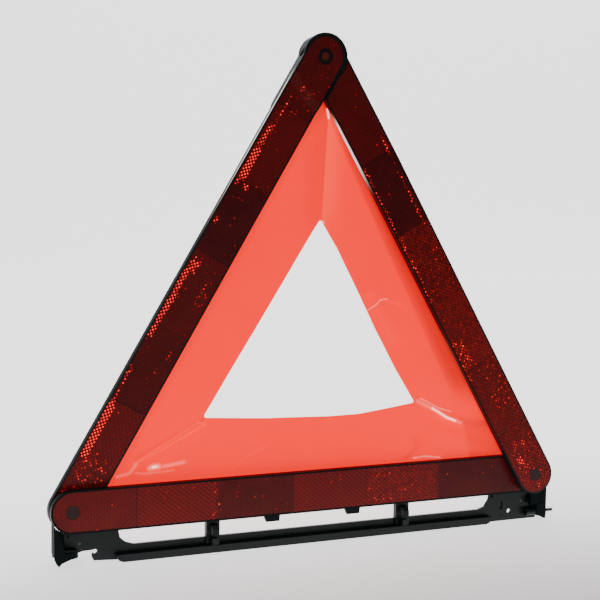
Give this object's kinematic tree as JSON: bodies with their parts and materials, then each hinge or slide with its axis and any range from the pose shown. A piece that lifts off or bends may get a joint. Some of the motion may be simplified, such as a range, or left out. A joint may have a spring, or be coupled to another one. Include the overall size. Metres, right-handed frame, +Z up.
{
  "type": "warning triangle",
  "caption": "Folding roadside warning triangle: red reflector arms on slanted pivots, orange foil stretched inside, black base rail with swing-out wire legs.",
  "frame": {"origin": "on the underside of the base rail, midway between the two lower pivots, in the bottom arm's centre plane", "axes": "+X along the bottom arm, -Y is where the reflectors face, +Z up"},
  "size_m": [0.4497, 0.026, 0.414],
  "materials": {
    "black_plastic": "satin",
    "lens_red": "prismatic gloss",
    "foil_orange": "satin sheet",
    "zinc_steel": "bright zinc"
  },
  "bodies": {
    "bottom_arm": {"bottom_housing": "black_plastic", "bottom_lens": "lens_red", "pivot_rivet_left": "black_plastic", "pivot_rivet_right": "black_plastic", "pivot_washer_left": "zinc_steel", "pivot_washer_right": "zinc_steel", "foil": "foil_orange", "foil_rivet_right": "black_plastic", "base_frame": "black_plastic", "base_screws": "zinc_steel", "left_wire_clip": "black_plastic", "right_wire_clip": "black_plastic", "left_end_bracket": "black_plastic", "right_end_bracket": "black_plastic", "bracket_screws": "zinc_steel", "bracket_pins": "zinc_steel"},
    "left_arm": {"left_housing": "black_plastic", "left_lens": "lens_red", "apex_stud": "black_plastic", "foil_rivets_left": "black_plastic"},
    "right_arm": {"right_housing": "black_plastic", "right_lens": "lens_red", "apex_socket": "black_plastic"},
    "left_stand_leg": {"left_leg": "zinc_steel", "left_leg_tip": "black_plastic", "left_leg_washer": "zinc_steel"},
    "right_stand_leg": {"right_leg": "zinc_steel", "right_leg_tip": "black_plastic", "right_leg_washer": "zinc_steel"}
  },
  "joints": [
    {"name": "left_arm_fold", "type": "hinge", "parent": "bottom_arm", "child": "left_arm", "pos_m": [-0.204, 0, 0.042], "axis": [-0.0323, 0.9995, 0], "range_deg": [0, 60], "deforming": ["foil"]},
    {"name": "right_arm_fold", "type": "hinge", "parent": "bottom_arm", "child": "right_arm", "pos_m": [0.204, 0, 0.042], "axis": [-0.0323, 0.9995, 0], "range_deg": [-60, 0], "deforming": ["foil"]},
    {"name": "left_leg_swing", "type": "hinge", "parent": "bottom_arm", "child": "left_stand_leg", "pos_m": [-0.178, 0.008, 0.016], "axis": [0, 0, 1], "range_deg": [0, 90]},
    {"name": "right_leg_swing", "type": "hinge", "parent": "bottom_arm", "child": "right_stand_leg", "pos_m": [0.178, 0.008, 0.016], "axis": [0, 0, -1], "range_deg": [0, 90]}
  ],
  "couplings": [
    {"joint": "right_arm_fold", "follows": "left_arm_fold", "ratio": -1}
  ]
}
